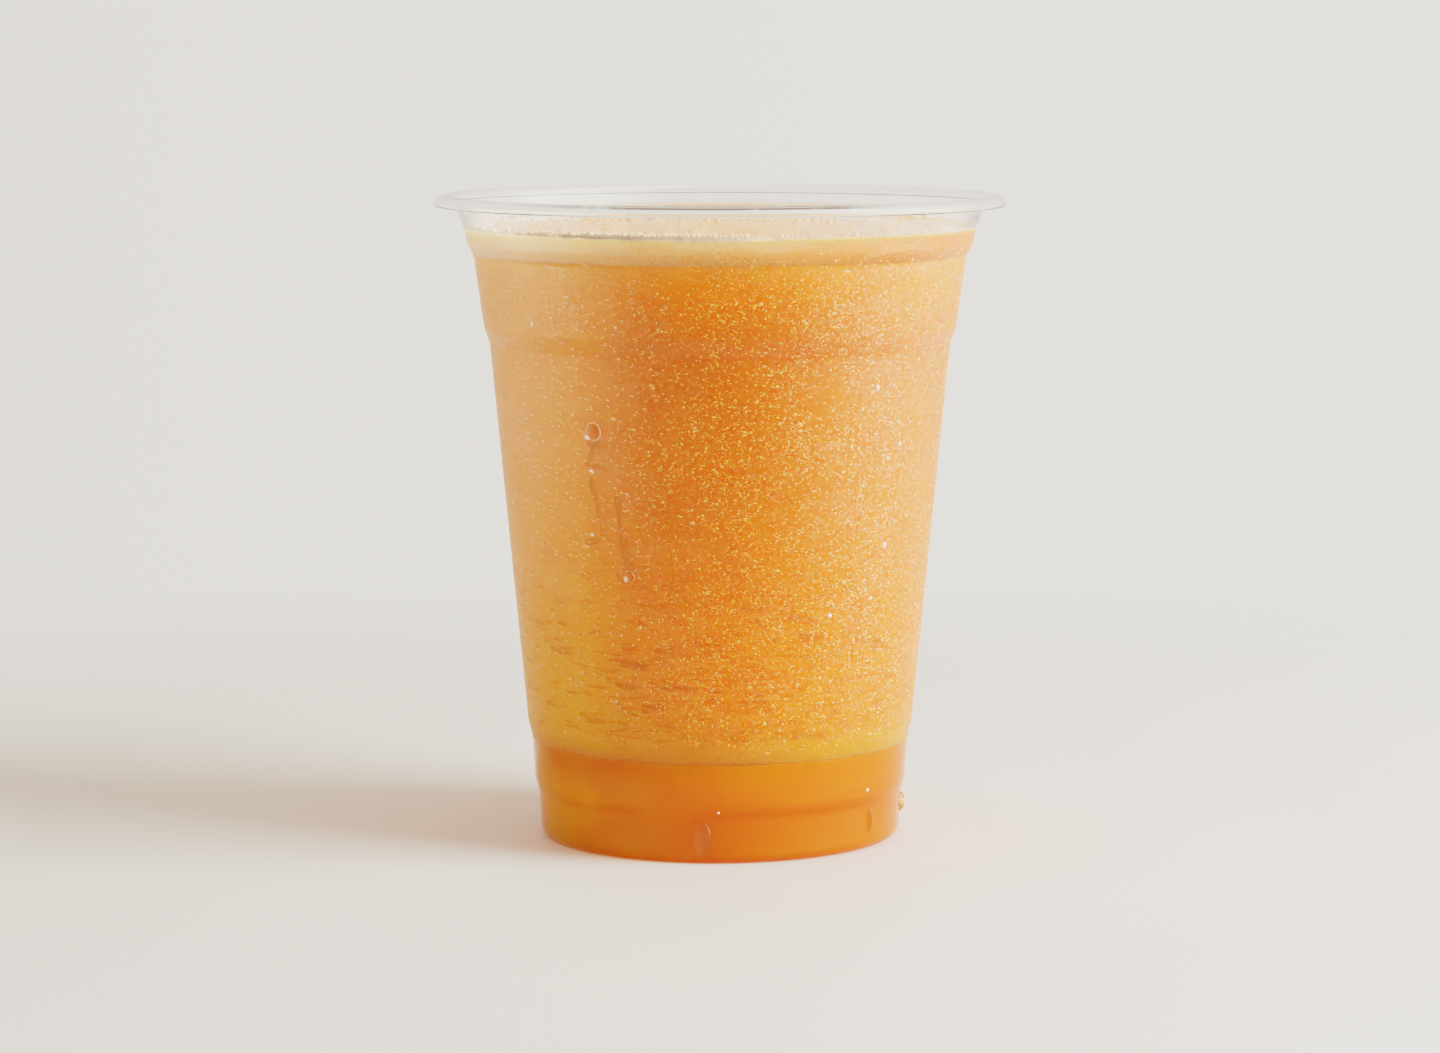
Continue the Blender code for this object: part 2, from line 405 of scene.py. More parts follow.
def rounded_corner(before, corner, after, reach, steps):
    """Points of a smooth bend that cuts a corner off at the given reach."""
    before, corner, after = Vector(before), Vector(corner), Vector(after)
    start = corner + (before - corner).normalized() * reach
    end = corner + (after - corner).normalized() * reach
    bend = []
    for step in range(steps + 1):
        share = step / steps
        bend.append(start * (1 - share) ** 2 + corner * 2 * share * (1 - share) + end * share ** 2)
    return bend


def rim_roll(wall):
    """The roll of the rim, from its hidden tip over the top to the wall, on the hollow's side."""
    half_width = RIM_WIDTH / 2 - wall
    half_height = RIM_HEIGHT / 2 - wall
    centre_height = CAD_HIGH.z - RIM_HEIGHT / 2
    points = []
    for step in range(RIM_ROLL_STEPS + 1):
        angle = math.radians(180 - RIM_ROLL_DEGREES * (1 - step / RIM_ROLL_STEPS))
        radius = RIM_MIDDLE + half_width * math.cos(angle)
        points.append(Vector((radius, centre_height + half_height * math.sin(angle))))
    return points


def outer_wall(wall):
    """The cup's outer line from the tip of the rim's roll down to the middle of the floor."""
    corners = [
        (NECK_TOP, STEP_ROUNDING, 4),
        (NECK_BEND, NECK_ROUNDING, 6),
        (NECK_LOW, STEP_ROUNDING, 4),
        (COLLAR_TOP, STEP_ROUNDING, 4),
        (COLLAR_LOW, STEP_ROUNDING, 4),
        (BODY_TOP, STEP_ROUNDING, 4),
        (BODY_LOW, STEP_ROUNDING, 4),
        (HEEL_TOP, STEP_ROUNDING, 4),
        (MIST_END, MIST_END_ROUNDING, 1),
        (HEEL_LOW, STEP_ROUNDING, 4),
        (FOOT_TOP, STEP_ROUNDING, 4),
        (FOOT_LOW, FOOT_ROUNDING, 8),
        (FOOT_INSIDE, PANEL_ROUNDING, 5),
        (PANEL_EDGE, PANEL_ROUNDING, 5),
    ]
    roll = rim_roll(wall)
    line = [roll[-1]] + [corner for corner, reach, steps in corners] + [PANEL_CENTRE]
    points = list(roll)
    for index, (corner, reach, steps) in enumerate(corners, start=1):
        points += rounded_corner(line[index - 1], corner, line[index + 1], reach, steps)
    points.append(Vector(PANEL_CENTRE))
    return points


def moved_inward(points, distance):
    """A line that runs beside the given one, on the side of the drink."""
    moved = []
    for index, point in enumerate(points):
        ahead = points[min(index + 1, len(points) - 1)] - point
        back = point - points[index - 1] if index else ahead
        if not ahead.length:
            ahead = back
        along = (back.normalized() + ahead.normalized()).normalized()
        side = Vector((along.y, -along.x))
        mitre = along.dot(ahead.normalized())
        moved.append(point + side * distance / mitre)
    return moved


def drink_side(distance):
    """The wall's line below the rim, moved inward by a distance, down to the middle of the floor."""
    line = moved_inward(outer_wall(WALL)[RIM_ROLL_STEPS + 1:], distance)
    line[-1].x = 0.0
    return line


def radius_at(line, height):
    """The radius at which a line crosses a height."""
    for upper, lower in zip(line, line[1:]):
        if upper.y >= height >= lower.y and upper.y > lower.y:
            share = (upper.y - height) / (upper.y - lower.y)
            return upper.x + (lower.x - upper.x) * share
    raise ValueError(f"no wall at height {height}")


def stretch_of(line, top, bottom, longest):
    """The part of a line between two heights, cut into steps no longer than given."""
    ends = [Vector((radius_at(line, top), top))]
    ends += [point for point in line if bottom < point.y < top and point.x > FOOT_INSIDE[0]]
    ends.append(Vector((radius_at(line, bottom), bottom)))
    points = [ends[0]]
    for start, end in zip(ends, ends[1:]):
        pieces = max(1, math.ceil((end - start).length / longest))
        points += [start.lerp(end, piece / pieces) for piece in range(1, pieces + 1)]
    return points


def spin_round(shape, steps, closer_than):
    """Turn a bmesh outline once round the vertical axis, and close its seam and poles."""
    bmesh.ops.spin(
        shape, geom=shape.verts[:] + shape.edges[:], cent=(0, 0, 0), axis=(0, 0, 1), dvec=(0, 0, 0),
        angle=math.tau, steps=steps, use_merge=True, use_duplicate=False,
    )
    bmesh.ops.remove_doubles(shape, verts=shape.verts, dist=closer_than)
    bmesh.ops.recalc_face_normals(shape, faces=shape.faces)
    return shape


def spun_mesh(outline):
    """A bmesh of an outline turned once round the vertical axis."""
    shape = bmesh.new()
    vertices = [shape.verts.new((point.x, 0.0, point.y)) for point in outline]
    for pair in zip(vertices, vertices[1:]):
        shape.edges.new(pair)
    return spin_round(shape, TURN_STEPS, 0.00001)


def finished(name, shape, materials, replaced=()):
    """Turn a bmesh into a smooth piece that rides on the cup."""
    mesh = bpy.data.meshes.new(name)
    shape.to_mesh(mesh)
    shape.free()
    return settled(name, mesh, materials, replaced)


def settled(name, mesh, materials, replaced=()):
    """Place a mesh in the scene as a smooth piece that rides on the cup."""
    for material in materials:
        mesh.materials.append(material)
    mesh.shade_smooth()
    piece = bpy.data.objects.new(name, mesh)
    bpy.context.scene.collection.objects.link(piece)
    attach(piece, "root")
    if replaced:
        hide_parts(*replaced)
    return piece


def wall_heights_and_radii():
    """The outer wall below the rim as rising heights and their radii."""
    line = outer_wall(WALL)[RIM_ROLL_STEPS + 1:]
    below = [point for point in line if point.x > FOOT_LOW[0] - FOOT_ROUNDING]
    below.reverse()
    return np.array([point.y for point in below]), np.array([point.x for point in below])


def seated_on_wall(degrees, heights, widths, lengths, depths, sunk):
    """Matrices that seat small flat shapes on the outer wall, from arrays of their places and sizes."""
    known_heights, known_radii = wall_heights_and_radii()
    angles = np.radians(degrees)
    reach = 0.0003
    radii = np.interp(heights, known_heights, known_radii)
    above = np.interp(heights + reach, known_heights, known_radii)
    under = np.interp(heights - reach, known_heights, known_radii)
    flat = np.zeros(len(angles))
    out = np.stack([np.cos(angles), np.sin(angles), (under - above) / (2 * reach)], axis=1)
    out /= np.linalg.norm(out, axis=1, keepdims=True)
    along = np.stack([-np.sin(angles), np.cos(angles), flat], axis=1)
    up = np.cross(out, along)
    wall = np.stack([radii * np.cos(angles), radii * np.sin(angles), heights], axis=1)
    places = np.zeros((len(angles), 4, 4))
    places[:, :3, 0] = along * widths[:, None]
    places[:, :3, 1] = up * lengths[:, None]
    places[:, :3, 2] = out * depths[:, None]
    places[:, :3, 3] = wall - out * (depths * sunk)[:, None]
    places[:, 3, 3] = 1.0
    return places


def joined_copies(name, shape, places, materials):
    """One piece of many copies of a small bmesh shape, each put in place by a matrix."""
    shape.verts.ensure_lookup_table()
    corners = np.array([(*vertex.co, 1.0) for vertex in shape.verts])
    triangles = np.array([[vertex.index for vertex in face.verts] for face in shape.faces])
    shape.free()
    matrices = np.array([[list(row) for row in place] for place in places])
    points = np.einsum("nij,kj->nki", matrices, corners)[:, :, :3].reshape(-1, 3)
    shift = np.arange(len(places))[:, None, None] * len(corners)
    faces = (triangles[None, :, :] + shift).reshape(-1, triangles.shape[1])
    mesh = bpy.data.meshes.new(name)
    mesh.from_pydata(points.tolist(), [], faces.tolist())
    mesh.update()
    return settled(name, mesh, materials)


def small_ball(subdivisions):
    """A bmesh ball of radius 1 with few faces."""
    shape = bmesh.new()
    bmesh.ops.create_icosphere(shape, subdivisions=subdivisions, radius=1.0)
    return shape


def thin_ring():
    """A bmesh ring of radius 1, as thin as the painted bright rim of a drop."""
    shape = bmesh.new()
    upright = Matrix.Translation((1.0, 0.0, 0.0)) @ Matrix.Rotation(math.pi / 2, 4, "X")
    bmesh.ops.create_circle(shape, segments=8, radius=DROP_RIM_SHARE, matrix=upright)
    return spin_round(shape, 40, 0.001)


def feed(tree, node, values):
    """Give a node's inputs their values, or link them to the sockets that feed them."""
    for name, value in values.items():
        if isinstance(value, NodeSocket):
            tree.links.new(value, node.inputs[name])
        else:
            node.inputs[name].default_value = value


def add_node(tree, kind, values=None, **settings):
    """Add a node with its settings and its inputs' values or sockets."""
    node = tree.nodes.new(kind)
    for name, value in settings.items():
        setattr(node, name, value)
    feed(tree, node, values or {})
    return node


def computed(tree, operation, *values, clamp=False):
    """The result of one sum on numbers or sockets."""
    node = add_node(tree, "ShaderNodeMath", dict(enumerate(values)), operation=operation, use_clamp=clamp)
    return node.outputs["Value"]


def vector_result(tree, operation, *values, output="Vector"):
    """The result of one vector sum on vectors or sockets."""
    node = add_node(tree, "ShaderNodeVectorMath", dict(enumerate(values)), operation=operation)
    return node.outputs[output]


def remapped(tree, value, low, high, start=0.0, end=1.0, smooth=False):
    """A value carried from the range between low and high to the one between start and end."""
    values = {"Value": value, "From Min": low, "From Max": high, "To Min": start, "To Max": end}
    kind = "SMOOTHSTEP" if smooth else "LINEAR"
    return add_node(tree, "ShaderNodeMapRange", values, interpolation_type=kind).outputs["Result"]


def scaled(tree, value, *factors):
    """A value times one factor after another, held between 0 and 1."""
    for factor in factors:
        value = computed(tree, "MULTIPLY", value, factor, clamp=True)
    return value


def mixed(tree, colour, *layers):
    """A colour with others laid over it in turn, each given with its share between 0 and 1."""
    for other, share in layers:
        ends = {"A": colour, "B": other}
        for name, value in ends.items():
            if not isinstance(value, NodeSocket):
                ends[name] = (*value, 1.0)
        mix = add_node(tree, "ShaderNodeMix", {**ends, "Factor": share}, data_type="RGBA")
        colour = mix.outputs["Result"]
    return colour


def mixed_shader(tree, share, first, second):
    """One shader turned into another by a share between 0 and 1."""
    return add_node(tree, "ShaderNodeMixShader", {"Fac": share, 1: first, 2: second}).outputs["Shader"]


def place_on(tree, kind="Object"):
    """The shaded point's place, or another of its coordinates."""
    return add_node(tree, "ShaderNodeTexCoord").outputs[kind]


def level_place_on(tree):
    """The shaded point's place without its height."""
    return vector_result(tree, "MULTIPLY", place_on(tree), (1.0, 1.0, 0.0))


def parts_of(tree, vector):
    """The three parts of a vector, by the names X, Y and Z."""
    return add_node(tree, "ShaderNodeSeparateXYZ", {"Vector": vector}).outputs


def noise_on(tree, vector, **values):
    """Soft noise between 0 and 1."""
    inputs = {name.capitalize(): value for name, value in values.items()}
    return add_node(tree, "ShaderNodeTexNoise", {"Vector": vector, **inputs}).outputs["Fac"]


def direction_share(tree, axis, start, end):
    """A place along one of the object's axes as a share, 0 at the start and 1 at the end."""
    return remapped(tree, parts_of(tree, place_on(tree))[axis], start, end)


def height_share(tree, low, high):
    """Height on the object as a share, 0 at the first height and 1 at the second."""
    return direction_share(tree, "Z", low, high)


def band_share(tree, rising, falling):
    """1 between two pairs of heights, and fading over each pair."""
    return scaled(tree, height_share(tree, *rising), height_share(tree, *falling))


def reach_share(tree, near, far):
    """Distance from the cup's axis as a share, 0 at the first distance and 1 at the second."""
    return remapped(tree, vector_result(tree, "LENGTH", level_place_on(tree), output="Value"), near, far)


def new_group(name, inputs, output):
    """An empty node group with named inputs and one output: its tree, inputs' sockets and end node."""
    tree = bpy.data.node_groups.new(name, "ShaderNodeTree")
    for socket, value in inputs.items():
        kind = "NodeSocketVector" if isinstance(value, tuple) else "NodeSocketFloat"
        tree.interface.new_socket(socket, in_out="INPUT", socket_type=kind).default_value = value
    tree.interface.new_socket(output, in_out="OUTPUT", socket_type="NodeSocketFloat")
    return tree, tree.nodes.new("NodeGroupInput").outputs, tree.nodes.new("NodeGroupOutput")


def build_level_streaks():
    """Group: long level streaks, as in settled pulp."""
    inputs = {"Length": 0.01, "Thickness": 0.001, "From": 0.4, "To": 0.6}
    tree, given, result = new_group("level_streaks", inputs, "Result")
    lengths = {"X": given["Length"], "Y": given["Length"], "Z": given["Thickness"]}
    stretch = add_node(tree, "ShaderNodeCombineXYZ", lengths)
    stretched = vector_result(tree, "DIVIDE", place_on(tree), stretch.outputs["Vector"])
    pattern = noise_on(tree, stretched, scale=1.0, detail=2.0, distortion=0.3)
    feed(tree, result, {"Result": remapped(tree, pattern, given["From"], given["To"], smooth=True)})


def build_round_specks():
    """Group: scattered round specks of one size, 1 in their middle."""
    tree, given, result = new_group("round_specks", {"Spacing": 0.001, "Radius": 0.3}, "Result")
    scale = computed(tree, "DIVIDE", 1.0, given["Spacing"])
    values = {"Vector": place_on(tree), "Scale": scale, "Randomness": 1.0}
    cells = add_node(tree, "ShaderNodeTexVoronoi", values)
    feed(tree, result, {"Result": remapped(tree, cells.outputs["Distance"], 0.0, given["Radius"], 1.0, 0.0)})


def build_ragged_line():
    """Group: a straight line between two points, 1 along its middle and ragged at its edges."""
    inputs = {"Start": (0.0, 0.0, 0.1), "End": (0.0, 0.0, 0.0), "Half Width": 0.001}
    tree, given, result = new_group("ragged_line", inputs, "Result")
    run = vector_result(tree, "SUBTRACT", given["End"], given["Start"])
    offset = vector_result(tree, "SUBTRACT", place_on(tree), given["Start"])
    along = vector_result(tree, "DOT_PRODUCT", offset, run, output="Value")
    square = vector_result(tree, "DOT_PRODUCT", run, run, output="Value")
    share = computed(tree, "DIVIDE", along, square, clamp=True)
    step = add_node(tree, "ShaderNodeVectorMath", {0: run, "Scale": share}, operation="SCALE")
    apart = vector_result(tree, "DISTANCE", offset, step.outputs["Vector"], output="Value")
    wander = noise_on(tree, place_on(tree), scale=420.0, detail=1.0)
    ragged = remapped(tree, wander, 0.3, 0.7, 0.5, 1.6)
    reach = computed(tree, "MULTIPLY", given["Half Width"], ragged)
    feed(tree, result, {"Result": remapped(tree, apart, 0.0, reach, 1.0, 0.0, smooth=True)})


GROUPS = {
    "level_streaks": build_level_streaks,
    "round_specks": build_round_specks,
    "ragged_line": build_ragged_line,
}


def pattern_of(tree, name, values):
    """A pattern's value from its node group, which is built when it is first asked for."""
    if name not in bpy.data.node_groups:
        GROUPS[name]()
    node = tree.nodes.new("ShaderNodeGroup")
    node.node_tree = bpy.data.node_groups[name]
    feed(tree, node, values)
    return node.outputs["Result"]


def streaks(tree, length, thickness, start, end):
    """Level streaks of a length and thickness, from noise between start and end."""
    values = {"Length": length, "Thickness": thickness, "From": start, "To": end}
    return pattern_of(tree, "level_streaks", values)


def specks(tree, spacing, radius):
    """Round specks at a spacing, with their radius as a share of it."""
    return pattern_of(tree, "round_specks", {"Spacing": spacing, "Radius": radius})


def wall_point(degrees, height):
    """A point on the outer wall."""
    known_heights, known_radii = wall_heights_and_radii()
    radius = float(np.interp(height, known_heights, known_radii))
    angle = math.radians(degrees)
    return (radius * math.cos(angle), radius * math.sin(angle), height)


def ragged_lines(tree, lines):
    """Lines on the outer wall as one value, 1 along their middles, from their ends and half widths."""
    together = 0.0
    for start, end, half_width in lines:
        ends = {"Start": wall_point(*start), "End": wall_point(*end), "Half Width": half_width}
        together = computed(tree, "MAXIMUM", together, pattern_of(tree, "ragged_line", ends))
    return together


def new_material(name):
    """An empty node material and its tree."""
    material = bpy.data.materials.new(name)
    material.use_nodes = True
    return material, material.node_tree


def dress(tree, values, lamp_tint):
    """Give a material's shader its values, and let lamp light pass it, tinted, to what lies behind."""
    shader = tree.nodes["Principled BSDF"]
    feed(tree, shader, values)
    from_lamp = add_node(tree, "ShaderNodeLightPath").outputs["Is Shadow Ray"]
    clear = add_node(tree, "ShaderNodeBsdfTransparent", {"Color": (*lamp_tint, 1.0)})
    both = mixed_shader(tree, from_lamp, shader.outputs["BSDF"], clear.outputs["BSDF"])
    feed(tree, tree.nodes["Material Output"], {"Surface": both})


def clear_plastic():
    """Glossy clear plastic, with a painted dark line along the front of the rim's crest and painted shade in
    the crease over the foot.
    """
    material, tree = new_material("clear_plastic")
    tint = tuple(cup_settings().plastic)
    crease_shade_tint = (0.84, 0.72, 0.52)
    # Painted dark line along the front of the rim's crest, for the dark refraction seen there
    line = scaled(
        tree, height_share(tree, CAD_HIGH.z - CREST_HEIGHT, CAD_HIGH.z - CREST_HEIGHT / 2),
        direction_share(tree, "Y", -0.030, -0.042), direction_share(tree, "X", 0.030, 0.020),
        reach_share(tree, RIM_MIDDLE, RIM_MIDDLE + 0.0002), streaks(tree, 0.007, 0.004, 0.20, 0.40),
    )
    # Painted shade in the crease over the foot, broken into streaks
    crease_shade = scaled(tree, band_share(tree, *CREASE_BAND), streaks(tree, 0.012, 0.004, 0.35, 0.60))
    colour = mixed(tree, tint, (CREST_PAINTED_DARK, line), (crease_shade_tint, crease_shade))
    dress(tree, {**PLASTIC, "Base Color": colour, "Roughness": 0.03}, tint)
    return material


def wet_plastic():
    """Clear plastic with a thin film of juice on its inner side, above the froth."""
    material, tree = new_material("wet_plastic")
    thin = (0.99, 0.88, 0.80)
    thick = (0.99, 0.80, 0.68)
    at_sides = (0.99, 0.96, 0.93)
    at_back = (0.90, 0.36, 0.12)
    back = scaled(
        tree, direction_share(tree, "Y", 0.0300, 0.0375), streaks(tree, 0.005, 0.0016, 0.20, 0.42),
        height_share(tree, *FILM_AT_BACK),
    )
    colour = mixed(
        tree, thin,
        (thick, streaks(tree, 0.006, 0.0015, 0.3, 0.7)),
        (at_sides, direction_share(tree, "X", 0.024, 0.038)),
        (at_sides, direction_share(tree, "X", -0.026, -0.040)),
        (at_back, back),
    )
    dress(tree, {**PLASTIC, "Base Color": colour, "Roughness": 0.12}, (0.99, 0.93, 0.87))
    return material


def mist_thickness(tree):
    """How thick the fine drops stand, from 0 to 1: thin on the bare side, and in patches."""
    way = vector_result(tree, "NORMALIZE", level_place_on(tree))
    bare_way = (math.cos(math.radians(BARE_SIDE)), math.sin(math.radians(BARE_SIDE)), 0.0)
    facing = vector_result(tree, "DOT_PRODUCT", way, bare_way, output="Value")
    thick = remapped(tree, facing, 0.65, 0.90, 1.0, 0.12, smooth=True)
    spread = computed(tree, "MAXIMUM", thick, scaled(tree, height_share(tree, *MIST_ON_COLLAR), 0.6))
    patches = noise_on(tree, place_on(tree), scale=110.0, detail=3.0)
    patchy = remapped(tree, patches, 0.35, 0.60, 0.45, 1.0)
    return scaled(tree, spread, patchy, band_share(tree, *MIST_BAND))


def misted_plastic():
    """Clear plastic under a veil of the finest drops, with level streaks and wiped marks in it."""
    material, tree = new_material("misted_plastic")
    haze = (0.98, 0.92, 0.80)
    high_ground = (0.82, 0.72, 0.44)
    low_ground = (0.97, 0.76, 0.42)
    level_line = (0.74, 0.57, 0.16)
    pulp_streak = (0.56, 0.46, 0.09)
    sheen = (1.0, 0.93, 0.82, 1.0)
    thickness = mist_thickness(tree)
    pale = specks(tree, 0.00062, 0.62)
    between = computed(tree, "SUBTRACT", thickness, pale, clamp=True)
    ground = mixed(tree, high_ground, (low_ground, height_share(tree, *MIST_TURNS_WARM)))
    lines = streaks(tree, 0.0048, 0.0009, 0.555, 0.62)
    colour = mixed(
        tree, haze,
        (ground, between),
        (level_line, scaled(tree, lines, band_share(tree, *LEVEL_LINE_BAND))),
        (pulp_streak, ragged_lines(tree, PULP_STREAKS)),
        (cup_settings().trail, scaled(tree, ragged_lines(tree, TRAILS), 1.6)),
    )
    grain = scaled(tree, pale, thickness)
    veil = grain
    for pattern, strength in (
        (streaks(tree, 0.007, 0.0003, 0.60, 0.70), 0.35),
        (streaks(tree, 0.009, 0.006, 0.50, 0.75), 0.15),
        (band_share(tree, *BEVEL_BAND), 0.2),
    ):
        veil = computed(tree, "ADD", veil, scaled(tree, pattern, strength), clamp=True)
    bump = add_node(tree, "ShaderNodeBump", {"Strength": 0.5, "Distance": 0.00006, "Height": grain})
    values = {
        **PLASTIC, "Base Color": colour, "Roughness": 0.38, "Normal": bump.outputs["Normal"],
        "Coat Weight": veil, "Coat Roughness": 0.5, "Coat IOR": 1.85,
        "Sheen Weight": 0.12, "Sheen Roughness": 0.45, "Sheen Tint": sheen,
    }
    dress(tree, values, cup_settings().plastic)
    return material


def water_material():
    """A large drop of water, with painted light on its left, where it gathers the light from the right, and
    painted shade on its right.
    """
    material, tree = new_material("water")
    dark = (0.66, 0.52, 0.20)
    pale = (1.0, 0.88, 0.66)
    sheen = (1.0, 0.88, 0.78, 1.0)
    # Painted light and shade by the way the surface faces: pale on the left, dark on the right
    side = remapped(tree, parts_of(tree, place_on(tree, "Normal"))["X"], 0.35, -0.45)
    values = {
        "Base Color": mixed(tree, dark, (pale, side)), "Roughness": 0.04, "IOR": WATER_IOR,
        "Transmission Weight": 0.95, "Sheen Weight": 0.3, "Sheen Roughness": 0.25, "Sheen Tint": sheen,
    }
    dress(tree, values, (1.0, 1.0, 1.0))
    return material


def pale_water_material():
    """Painted light: pale, half-clear water for the bright spots where drops gather the light."""
    material, tree = new_material("pale_water")
    warm = (1.0, 0.86, 0.74)
    white = (1.0, 0.97, 0.92)
    colour = mixed(tree, warm, (white, specks(tree, 0.0006, 0.9)))
    values = {"Base Color": colour, "Roughness": 0.1, "IOR": WATER_IOR, "Transmission Weight": 0.3}
    dress(tree, values, white)
    return material


def mist_material():
    """Fine drops of fogged water, painted orange or golden at random for the juice seen through them, and
    painted paler at the left and right for the room's light they catch.
    """
    if "mist_drops" in bpy.data.materials:
        return bpy.data.materials["mist_drops"]
    material, tree = new_material("mist_drops")
    orange = (0.98, 0.49, 0.10)
    golden = (1.0, 0.67, 0.28)
    drops_lit_left = (1.0, 0.93, 0.80)
    drops_lit_right = (1.0, 0.86, 0.60)
    pick = remapped(tree, noise_on(tree, place_on(tree), scale=1600.0, detail=0.0), 0.42, 0.55)
    colour = mixed(
        tree, orange,
        (golden, pick),
        # Painted light: the drops paler at the left and right, for the room's light they catch
        (drops_lit_left, scaled(tree, direction_share(tree, "X", -0.008, -0.026), 0.9)),
        (drops_lit_right, scaled(tree, direction_share(tree, "X", 0.004, 0.026), 0.9)),
    )
    values = {"Base Color": colour, "Roughness": 0.25, "IOR": 1.15, "Transmission Weight": 0.62}
    dress(tree, values, (0.95, 0.93, 0.90))
    return material


def pulpy_material():
    """Cloudy juice that light enters and leaves again, with level streaks of pulp; at its front it is painted
    paler on the left, and more so low down, and deeper on the right, for how the light falls.
    """
    material, tree = new_material("pulpy_juice")
    juice = juice_settings()
    # Painted light on the left and lower left, painted shade on the right, at the front only
    juice_lit_left = (0.99, 0.49, 0.012)
    juice_lit_low_left = (1.0, 0.56, 0.05)
    juice_shaded_right = (0.86, 0.20, 0.008)
    foot = (0.99, 0.38, 0.06)
    front = direction_share(tree, "Y", 0.020, 0.004)
    left = scaled(tree, direction_share(tree, "X", 0.002, -0.022), front)
    right = scaled(tree, direction_share(tree, "X", -0.002, 0.024), front)
    dark = streaks(tree, 0.0035, 0.0009, 0.60, 0.68)
    colour = mixed(
        tree, juice.pulp_low,
        (juice.pulp_high, height_share(tree, PULP_BOTTOM, COLLAR_LOW[1])),
        (juice.pulp_top, height_share(tree, COLLAR_LOW[1], PULP_TOP)),
        (juice.froth_low, scaled(tree, height_share(tree, *PULP_MEETS_FROTH), 0.75)),
        (juice.pulp_streak, scaled(tree, streaks(tree, 0.006, 0.00045, 0.35, 0.75), 0.35)),
        (juice.pulp_streak, scaled(tree, dark, height_share(tree, *PULP_TURNS_DARK), 0.8)),
        (juice_lit_left, scaled(tree, left, 0.52)),
        (juice_lit_low_left, scaled(tree, left, height_share(tree, *PULP_PAINTED_LIGHT), 0.45)),
        (juice_shaded_right, scaled(tree, right, 0.40)),
        (foot, scaled(tree, height_share(tree, *PULP_PALE_FOOT), 0.6)),
    )
    values = {
        "Base Color": colour, "Roughness": 0.5, "Specular IOR Level": 0.1,
        "Subsurface Weight": 1.0, "Subsurface Scale": 0.03, "Subsurface Radius": (1.0, 0.3, 0.06),
    }
    dress(tree, values, (0.56, 0.31, 0.21))
    return material


def amber_material():
    """Clear amber juice, a little cloudy, painted paler on its left and deeper on its right for how the light
    falls.
    """
    material, tree = new_material("amber_juice")
    # Painted light on the left and painted shade on the right
    juice_lit_left = (1.0, 0.46, 0.003)
    juice_shaded_right = (0.99, 0.215, 0.002)
    cloud = (0.90, 0.22, 0.001)
    colour = mixed(
        tree, juice_settings().amber,
        (juice_lit_left, direction_share(tree, "X", -0.002, -0.024)),
        (juice_shaded_right, direction_share(tree, "X", 0.004, 0.030)),
        (cloud, scaled(tree, streaks(tree, 0.008, 0.008, 0.35, 0.75), 0.35)),
    )
    values = {
        "Base Color": colour, "Roughness": 0.12, "IOR": 1.35, "Specular IOR Level": 0.1,
        "Transmission Weight": 0.32,
        "Subsurface Weight": 1.0, "Subsurface Scale": 0.015, "Subsurface Radius": (1.0, 0.55, 0.12),
    }
    dress(tree, values, (0.97, 0.60, 0.40))
    return material


def froth_material():
    """Pale froth, paler towards its top and at the left, and full of tiny bubbles."""
    material, tree = new_material("froth")
    juice = juice_settings()
    speck = (0.95, 0.74, 0.50)
    foamy_side = (0.99, 0.71, 0.50)
    deep_side = (0.84, 0.25, 0.05)
    wet_edge = (0.91, 0.42, 0.16)
    level_middle = (0.95, 0.50, 0.27)
    level_sides = (0.97, 0.80, 0.68)
    foam = (0.97, 0.86, 0.74)
    band = streaks(tree, 0.012, 0.0012, 0.3, 0.7)
    rise = computed(tree, "SUBTRACT", height_share(tree, *FROTH_PALES), 0.25)
    lift = computed(tree, "MULTIPLY_ADD", band, 0.5, rise, clamp=True)
    bubbles = specks(tree, 0.0006, 0.5)
    surface = mixed(
        tree, level_middle,
        (level_sides, direction_share(tree, "X", 0.006, 0.040)),
        (level_sides, direction_share(tree, "X", -0.006, -0.040)),
    )
    level = scaled(tree, height_share(tree, *FROTH_LEVEL), reach_share(tree, *FROTH_LEVEL_REACH))
    colour = mixed(
        tree, juice.froth_low,
        (juice.froth, lift),
        (speck, scaled(tree, bubbles, 0.5)),
        (foamy_side, scaled(tree, direction_share(tree, "X", 0.005, -0.030), 0.8)),
        (deep_side, direction_share(tree, "X", 0.000, 0.034)),
        (wet_edge, scaled(tree, height_share(tree, *FROTH_EDGE), 0.45)),
        (surface, level),
        (foam, scaled(tree, height_share(tree, *FROTH_RIM), direction_share(tree, "X", 0.012, 0.000))),
    )
    bump = add_node(tree, "ShaderNodeBump", {"Strength": 0.6, "Distance": 0.0001, "Height": bubbles})
    values = {
        "Base Color": colour, "Roughness": 0.5, "Specular IOR Level": 0.2, "Normal": bump.outputs["Normal"],
        "Subsurface Weight": 1.0, "Subsurface Scale": 0.004, "Subsurface Radius": (1.0, 0.7, 0.4),
    }
    dress(tree, values, (0.8, 0.6, 0.45))
    return material


def bubble_material():
    """Wet skins of the froth's bubbles, paler by the wall."""
    material, tree = new_material("froth_bubbles")
    on_top = (0.94, 0.66, 0.42)
    by_wall = (0.97, 0.86, 0.74)
    colour = mixed(tree, on_top, (by_wall, reach_share(tree, *BUBBLES_NEAR_WALL)))
    values = {"Base Color": colour, "Roughness": 0.08, "IOR": 1.3, "Transmission Weight": 0.45}
    dress(tree, values, by_wall)
    return material


